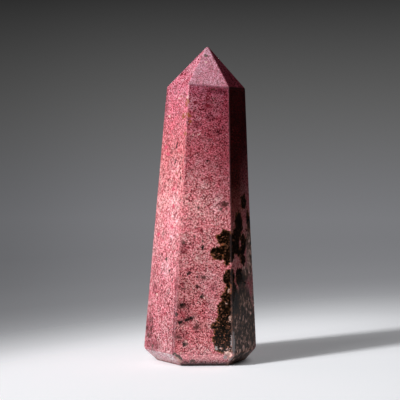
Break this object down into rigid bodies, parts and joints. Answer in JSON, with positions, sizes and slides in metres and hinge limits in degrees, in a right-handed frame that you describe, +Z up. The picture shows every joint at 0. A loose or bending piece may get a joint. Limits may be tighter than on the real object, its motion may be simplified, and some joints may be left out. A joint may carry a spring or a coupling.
{
  "type": "rhodonite point",
  "caption": "Polished stone tower in rose-pink rhodonite with black manganese patches: a tapered hexagonal shaft, a faceted tip and a chamfered flat base to stand on.",
  "frame": {"origin": "on the flat base that the stone stands on, near the middle of that base", "axes": "+Z up along the stone to its tip, -Y towards the front face, +X to the right of that face"},
  "size_m": [0.0538, 0.0476, 0.15],
  "materials": {
    "rhodonite": "polished, fine-grained rose pink with brown-rimmed black manganese oxide patches"
  },
  "bodies": {
    "root": {"rhodonite_point": "rhodonite"}
  },
  "joints": []
}
